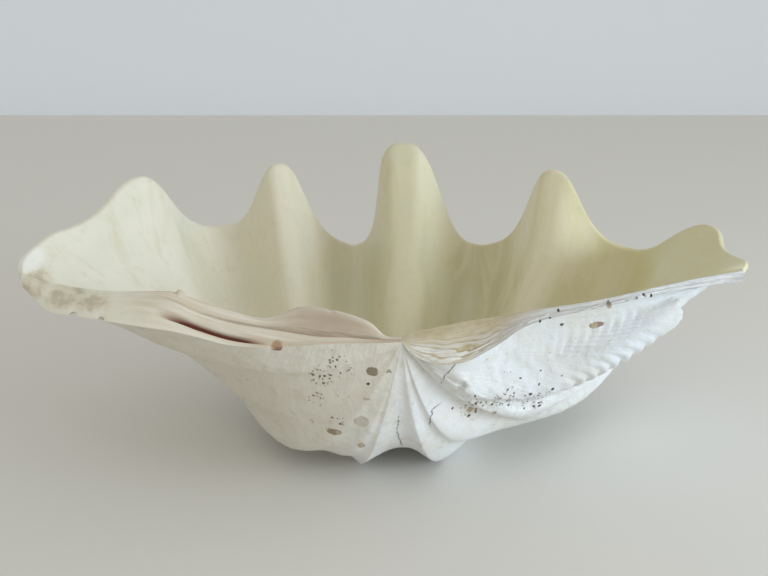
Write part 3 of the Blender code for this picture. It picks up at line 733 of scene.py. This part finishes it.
class Graph:
    """Adds and joins the nodes of one material."""

    def __init__(self, name):
        self.material = bpy.data.materials.new(name)
        self.material.use_nodes = True
        self.tree = self.material.node_tree
        self.shader = self.tree.nodes["Principled BSDF"]
        self.share, self.spoke, self.line = (self.fact(name) for name in FACTS)
        self.place = self.node("ShaderNodeTexCoord", {}, "Object")
        self.broad = self.noise(self.place, 10.0, 3.0, 0.55)
        self.fine = self.noise(self.place, 75.0, 4.0, 0.6)
        self.grain = self.noise(self.place, 420.0, 2.0, 0.6)

    def node(self, kind, inputs, output=0, **settings):
        """Adds a node with values or links on its inputs; returns one of its outputs."""
        made = self.tree.nodes.new(kind)
        for name, value in settings.items():
            setattr(made, name, value)
        for name, value in inputs.items():
            if isinstance(value, bpy.types.NodeSocket):
                self.tree.links.new(value, made.inputs[name])
            else:
                made.inputs[name].default_value = value
        return made.outputs[output]

    def math(self, operation, a, b=0.0, clamp=False):
        """One operation on two values."""
        return self.node("ShaderNodeMath", {0: a, 1: b}, operation=operation, use_clamp=clamp)

    def chain(self, operation, values):
        """One operation over any number of values, from the first to the last."""
        result = values[0]
        for value in values[1:]:
            result = self.math(operation, result, value)
        return result

    def total(self, *values):
        return self.chain("ADD", values)

    def product(self, *values):
        return self.chain("MULTIPLY", values)

    def vector(self, operation, a, b=None, output=0):
        """One operation on one or two vectors."""
        inputs = {0: a} if b is None else {0: a, 1: b}
        return self.node("ShaderNodeVectorMath", inputs, output, operation=operation)

    def fact(self, name):
        """A measure stored on the mesh."""
        return self.node("ShaderNodeAttribute", {}, "Fac", attribute_name=name)

    def ramp(self, value, low, high, start=0.0, end=1.0):
        """Smooth step from start at low to end at high."""
        inputs = {"Value": value, "From Min": low, "From Max": high, "To Min": start, "To Max": end}
        return self.node("ShaderNodeMapRange", inputs, interpolation_type="SMOOTHSTEP")

    def band(self, value, middle, half):
        """1 at the middle of a band, 0 outside it."""
        away = self.math("ABSOLUTE", self.math("SUBTRACT", value, middle))
        return self.ramp(away, 0.0, half, 1.0, 0.0)

    def mix(self, share, a, b):
        """Colour a with a share of colour b."""
        return self.node("ShaderNodeMix", {0: share, 6: a, 7: b}, 2, data_type="RGBA")

    def flow(self, across, along, third=0.0):
        """Coordinates stretched along the spokes or along the margin."""
        scaled = {
            "X": self.math("MULTIPLY", self.spoke, across),
            "Y": self.math("MULTIPLY", self.share, along),
            "Z": self.math("MULTIPLY", self.line, third),
        }
        return self.node("ShaderNodeCombineXYZ", scaled)

    def noise(self, vector, scale, detail=3.0, rough=0.5, warp=0.0):
        """Mottling from 0 to 1."""
        inputs = {"Vector": vector, "Scale": scale, "Detail": detail, "Roughness": rough}
        return self.node("ShaderNodeTexNoise", {**inputs, "Distortion": warp}, "Fac")

    def finish(self, colour, rough, height):
        """Colour, roughness and the height of the fine relief in millimetres."""
        uneven = self.total(self.ramp(self.grain, 0.3, 0.7, -0.05, 0.06), rough)
        relief = self.node("ShaderNodeBump", {"Height": height, "Distance": MILLIMETRE, "Strength": 0.9})
        for name, socket in (("Base Color", colour), ("Roughness", uneven), ("Normal", relief)):
            self.tree.links.new(socket, self.shader.inputs[name])
        return self.material


def discs(marks):
    """Round marks, with their radius as half size across and down."""
    return [(place, (radius, radius)) for place, radius in marks]


def nearest(g, place, marks):
    """Smallest distance to any mark as a share of its size; 1 at its outline."""
    distances = []
    for centre, (across, down) in marks:
        offset = g.vector("SUBTRACT", place, tuple(np.array(centre) + UMBO_PLACE))
        offset = g.vector("MULTIPLY", offset, (1.0 / across, DEPTH_WEIGHT / down, 1.0 / down))
        distances.append(g.vector("LENGTH", offset, output="Value"))
    return g.chain("MINIMUM", distances)


def bent_place(g, amount):
    """Object coordinates shaken a little, for ragged outlines."""
    shake = g.node("ShaderNodeTexNoise", {"Vector": g.place, "Scale": 210.0, "Detail": 2.0}, "Color")
    shake = g.vector("SUBTRACT", shake, (0.5, 0.5, 0.5))
    shake = g.node("ShaderNodeVectorMath", {0: shake, "Scale": amount}, operation="SCALE")
    return g.vector("ADD", g.place, shake)


def crack(g, place, start, end):
    """Distance from one straight piece of a crack."""
    flat = np.array((1.0, DEPTH_WEIGHT, 1.0))
    start, end = (np.array(start) + UMBO_PLACE) * flat, (np.array(end) + UMBO_PLACE) * flat
    along = end - start
    offset = g.vector("SUBTRACT", g.vector("MULTIPLY", place, tuple(flat)), tuple(start))
    where = g.vector("DOT_PRODUCT", offset, tuple(along / (along @ along)), "Value")
    where = g.math("MULTIPLY", where, 1.0, True)
    foot = g.node("ShaderNodeVectorMath", {0: tuple(along), "Scale": where}, operation="SCALE")
    return g.vector("DISTANCE", offset, foot, "Value")


def ivory(g):
    """Satin lining: cream to the rear, olive to the front, mottled in soft bands along the spokes."""
    streak = g.noise(g.flow(2.2, 3.0), 1.3, 4.0, 0.55, 1.1)
    hair = g.noise(g.flow(20.0, 5.0), 1.0, 3.0, 0.5, 0.8)
    spoke = g.total(g.spoke, g.ramp(streak, 0.3, 0.7, -0.35, 0.35))
    colour = g.mix(g.ramp(spoke, 2.9, 4.2), tone("olive"), tone("cream"))
    colour = g.mix(g.band(spoke, 5.0, 0.8), colour, tone("dull olive"))
    colour = g.mix(g.ramp(spoke, 6.0, 7.6), colour, tone("pale cream"))
    colour = g.mix(g.ramp(spoke, 8.2, 9.6), colour, tone("ivory"))
    colour = g.mix(g.ramp(g.broad, 0.42, 0.68, 0.0, 0.50), colour, tone("green grey"))
    colour = g.mix(g.ramp(g.fine, 0.52, 0.72, 0.0, 0.22), colour, tone("mottle"))
    colour = g.mix(g.ramp(g.fine, 0.70, 0.78, 0.0, 0.45), colour, tone("dark fleck"))
    colour = g.mix(g.ramp(streak, 0.50, 0.72, 0.0, 0.30), colour, tone("streak"))
    colour = g.mix(g.ramp(hair, 0.55, 0.75, 0.0, 0.12), colour, tone("hair streak"))
    lobe = g.product(g.band(g.spoke, 6.0, 0.9), g.ramp(g.share, 0.60, 0.95))
    colour = g.mix(g.math("MULTIPLY", lobe, 0.35), colour, tone("lobe shade"))
    low = g.product(g.ramp(g.share, 0.35, 0.78, 1.0, 0.0), g.ramp(g.spoke, 7.5, 6.0))
    colour = g.mix(g.math("MULTIPLY", low, 0.40), colour, tone("hollow shade"))
    return colour


def chalk(g, rings):
    """Chalky outside: bluish white to the front, warmer and greyer to the rear; this side-to-side tint is
    painted cool window light and warm shade.
    """
    # painted light: cool white on the window side, turning to warm shade towards the rear
    colour = g.mix(g.ramp(g.spoke, 5.0, 10.0), tone("chalk"), tone("warm shade chalk"))
    front = g.product(g.ramp(g.spoke, 1.5, 0.9), g.ramp(g.share, 0.22, 0.42))
    colour = g.mix(g.product(front, 0.75), colour, tone("grey chalk"))
    colour = g.mix(g.ramp(g.broad, 0.42, 0.70, 0.0, 0.45), colour, tone("tan chalk"))
    colour = g.mix(g.ramp(rings, 0.52, 0.72, 0.0, 0.22), colour, tone("growth ring"))
    return g.mix(g.ramp(g.fine, 0.50, 0.72, 0.0, 0.34), colour, tone("chalk mottle"))


def worn(g, colour):
    """Rear end: brownish worn patches and a white knob."""
    bent = bent_place(g, WORN_SHAKE)
    patch = g.ramp(nearest(g, bent, WORN), 0.55, 1.15, 1.0, 0.0)
    brown = g.mix(g.ramp(g.fine, 0.35, 0.65), tone("worn brown"), tone("worn cream"))
    colour = g.mix(g.math("MULTIPLY", patch, 0.7), colour, brown)
    return g.mix(g.ramp(nearest(g, bent, KNOB), 0.6, 1.1, 0.8, 0.0), colour, tone("knob white"))


def blemish(g, bent, colour, scars, holes):
    """Scars and borer holes; returns colour and depth."""
    patches = [g.ramp(nearest(g, bent, [(at, half)]), 0.80, 1.0, dark, 0.0) for at, half, dark in scars]
    scar = g.chain("MAXIMUM", patches)
    inner = g.mix(g.ramp(g.fine, 0.38, 0.62), tone("scar brown"), tone("scar tan"))
    colour = g.mix(g.math("MULTIPLY", scar, 0.95), colour, inner)
    hole = g.ramp(nearest(g, bent, discs(holes)), 0.75, 1.3, 1.0, 0.0)
    colour = g.mix(hole, colour, tone("borer hole"))
    return colour, g.total(g.product(hole, -1.3), g.product(scar, -0.7))


def cracks(g, bent):
    """1 in the cracks, 0 beside them."""
    distances = []
    for points in CRACKS:
        distances += [crack(g, bent, start, end) for start, end in zip(points[:-1], points[1:])]
    return g.ramp(g.chain("MINIMUM", distances), 0.0003, 0.0009, 1.0, 0.0)


def outside_material():
    """Chalky outside with growth rings, scars, borer holes, pitting and cracks."""
    g = Graph("shell_outside")
    turned = g.math("MAXIMUM", g.math("SUBTRACT", TURN_SPOKE, g.spoke), 0.0)
    aged = g.total(g.share, g.product(turned, turned, TURN_STRENGTH))
    scaled = {"X": g.product(g.spoke, 0.8), "Y": g.product(aged, 85.0), "Z": 1.0}
    rings = g.noise(g.node("ShaderNodeCombineXYZ", scaled), 1.0, 3.0, 0.6, 0.3)
    bent = bent_place(g, MARK_SHAKE)
    colour, depth = blemish(g, bent, chalk(g, rings), SCARS, HOLES)
    pitted = g.ramp(nearest(g, g.place, discs(PITTED)), 0.5, 1.15, 1.0, 0.0)
    pits = g.node("ShaderNodeTexVoronoi", {"Vector": bent, "Scale": 300.0}, "Distance")
    pick = g.noise(g.place, 150.0, 1.0, 0.5)
    spots = g.product(g.ramp(pits, 0.22, 0.42, 1.0, 0.0), g.ramp(pick, 0.42, 0.52), pitted)
    specks = g.product(g.ramp(pits, 0.10, 0.24, 1.0, 0.0), g.ramp(pick, 0.62, 0.68))
    specks = g.product(specks, g.ramp(g.share, 0.6, 0.4))
    colour = g.mix(g.product(spots, 0.95), colour, tone("pit"))
    colour = g.mix(g.product(specks, 0.7), colour, tone("speck"))
    split = cracks(g, bent)
    colour = g.mix(g.product(split, 0.75), colour, tone("crack"))
    lumps = g.noise(g.place, 34.0, 2.0, 0.5, 0.4)
    height = g.total(
        depth, g.product(lumps, 2.2), g.product(rings, 0.6), g.product(g.fine, 1.3),
        g.product(g.grain, 0.22), g.product(spots, -1.0), g.product(specks, -0.5), g.product(split, -0.9),
    )
    return g.finish(colour, 0.62, height)


def inside_material():
    """Satin lining of the hollow and the margin, with the worn rear end."""
    g = Graph("shell_inside")
    colour = worn(g, ivory(g))
    height = g.total(g.product(g.fine, 0.35), g.product(g.grain, 0.03))
    return g.finish(colour, 0.42, height)


def slope_material():
    """Layered slope in front of the umbo: tan and white layers, white further out, where the white is
    painted brighter to lift the shade the slope lies in.
    """
    g = Graph("shell_slope")
    wobble = g.noise(g.flow(0.0, 7.0, 0.6), 1.0, 2.0, 0.5)
    layer = g.math("FRACT", g.total(g.product(g.line, 1.6), g.ramp(wobble, 0.2, 0.8, -1.0, 1.0)))
    rings = g.noise(g.flow(0.0, 4.0, 5.0), 1.6, 3.0, 0.6, 0.4)
    near = g.product(g.ramp(g.line, 4.0, 2.0), g.ramp(g.share, 0.01, 0.05))
    tan = g.mix(g.ramp(g.fine, 0.35, 0.7), tone("slope tan"), tone("slope cream"))
    step = g.mix(g.ramp(layer, 0.10, 0.55), tone("layer foot"), tone("layer top"))
    colour = g.mix(g.product(near, 0.9), tan, step)
    # further out the slope is white chalk, painted brighter still to lift the shade the slope lies in
    far = g.ramp(g.total(g.share, g.product(g.line, -0.03)), 0.14, 0.34)
    colour = g.mix(far, colour, g.mix(0.75, chalk(g, rings), tone("slope white lifting shade")))
    colour, depth = blemish(g, bent_place(g, MARK_SHAKE), colour, SLOPE_SCARS, SLOPE_HOLES)
    stripe = g.product(g.band(rings, 0.5, 0.04), 0.18)
    colour = g.mix(stripe, colour, tone("slope line"))
    height = g.total(depth, g.product(layer, near, 1.4), g.product(rings, 1.6), g.product(g.fine, 0.9))
    return g.finish(colour, 0.6, height)


def hinge_material():
    """Face behind the umbo: pale bands, brown furrow, red-brown ligament slit, ivory at the rear end."""
    g = Graph("shell_hinge")
    bands = g.noise(g.flow(0.0, 3.0, 2.4), 1.6, 3.0, 0.55, 0.3)
    colour = g.mix(g.ramp(bands, 0.35, 0.68), tone("hinge pale"), tone("hinge tan"))
    tooth = g.product(g.band(g.line, 3.6, 0.9), g.band(g.share, 0.18, 0.17))
    colour = g.mix(g.product(tooth, 0.9), colour, tone("tooth shade"))
    # painted highlight: a near-white band along the top edge of the tooth
    edge = g.product(g.band(g.line, 4.35, 0.5), g.ramp(g.share, 0.34, 0.26))
    colour = g.mix(g.product(edge, 0.7), colour, tone("tooth highlight"))
    colour = g.mix(g.product(g.ramp(g.line, 0.75, 0.35), 0.6), colour, tone("hinge edge"))
    beak = g.product(g.ramp(g.share, 0.14, 0.02), g.band(g.line, 1.6, 1.8))
    colour = g.mix(g.product(beak, 0.5), colour, tone("beak"))
    line = g.total(g.line, g.ramp(bands, 0.3, 0.7, -0.12, 0.12))
    furrow = g.product(g.band(line, 3.0, 0.26), g.ramp(g.share, 0.64, 0.52))
    colour = g.mix(g.product(furrow, 0.6), colour, tone("furrow brown"))
    along = g.product(g.ramp(g.share, 0.30, 0.40), g.ramp(g.share, 0.63, 0.56))
    colour = g.mix(g.product(g.band(g.line, 0.95, 0.42), along, 0.75), colour, tone("nymph brown"))
    slit = g.product(g.ramp(g.share, 0.32, 0.42), g.ramp(g.share, 0.62, 0.50), 1.6)
    slit = g.math("MINIMUM", g.product(g.band(g.line, 1.0, 0.34), slit), 1.0)
    colour = g.mix(slit, colour, tone("ligament"))
    bruise = g.ramp(nearest(g, g.place, discs(BRUISE)), 0.6, 1.1, 0.8, 0.0)
    colour = g.mix(bruise, colour, tone("bruise"))
    colour = worn(g, g.mix(g.ramp(g.share, 0.60, 0.72), colour, ivory(g)))
    height = g.total(
        g.product(g.fine, 0.5), g.product(bands, 0.6), g.product(g.grain, 0.05),
        g.product(furrow, -0.8), g.product(slit, -1.5),
    )
    return g.finish(colour, 0.5, height)


def sweep_material(name, colour):
    """Plain pale floor or backdrop."""
    material = bpy.data.materials.new(name)
    material.use_nodes = True
    shader = material.node_tree.nodes["Principled BSDF"]
    shader.inputs["Base Color"].default_value = colour
    shader.inputs["Roughness"].default_value = 0.75
    return material


def sweep():
    """Floor that curves up into a backdrop far behind the shell."""
    profile = [(-FLOOR_REACH, 0.0)]
    for angle in np.linspace(0.0, math.pi / 2, BEND_POINTS):
        y = BEND_START + BEND_RADIUS * math.sin(angle)
        profile.append((y, BEND_RADIUS - BEND_RADIUS * math.cos(angle)))
    profile.append((BEND_START + BEND_RADIUS, BACKDROP_TOP))
    points = [(x, y, z) for y, z in profile for x in (-FLOOR_REACH, FLOOR_REACH)]
    faces = [(2 * i, 2 * i + 1, 2 * i + 3, 2 * i + 2) for i in range(len(profile) - 1)]
    mesh = bpy.data.meshes.new("sweep")
    mesh.from_pydata(points, [], faces)
    mesh.polygons.foreach_set("use_smooth", [True] * len(mesh.polygons))
    mesh.materials.append(sweep_material("floor_surface", tone("floor")))
    mesh.materials.append(sweep_material("backdrop_surface", tone("backdrop")))
    mesh.polygons.foreach_set("material_index", [0] + [1] * (len(faces) - 1))
    made = bpy.data.objects.new("sweep", mesh)
    bpy.context.scene.collection.objects.link(made)


def area_light(name, place, aim, size, watts, colour):
    """Rectangular light that faces a point."""
    data = bpy.data.lights.new(name, "AREA")
    data.shape = "RECTANGLE"
    data.size, data.size_y = size
    data.energy = watts
    data.color = colour
    light = bpy.data.objects.new(name, data)
    light.location = place
    direction = np.array(aim, float) - np.array(place, float)
    light.rotation_euler = (
        math.atan2(math.hypot(direction[0], direction[1]), -direction[2]),
        0.0,
        math.atan2(direction[0], -direction[1]) + math.pi,
    )
    bpy.context.scene.collection.objects.link(light)


def set_stage():
    """Sweep, soft light and camera."""
    scene = bpy.context.scene
    scene.view_settings.view_transform = "Standard"
    sweep()
    world = bpy.data.worlds.new("studio")
    world.use_nodes = True
    background = world.node_tree.nodes["Background"]
    background.inputs["Color"].default_value = tone("room")
    background.inputs["Strength"].default_value = ROOM_STRENGTH
    scene.world = world
    area_light("window", WINDOW_PLACE, WINDOW_AIM, WINDOW_SIZE, WINDOW_WATTS, WINDOW_COLOUR)
    camera = bpy.data.objects.new("camera", bpy.data.cameras.new("camera"))
    camera.data.sensor_width = CAMERA_SENSOR
    camera.data.lens = CAMERA_LENS
    camera.location = CAMERA_PLACE
    camera.rotation_euler = (math.radians(CAMERA_TILT), 0.0, 0.0)
    scene.collection.objects.link(camera)
    scene.camera = camera


shell = build_shell([outside_material(), inside_material(), slope_material(), hinge_material()])
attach(shell, "root")
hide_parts(NODE)
set_stage()
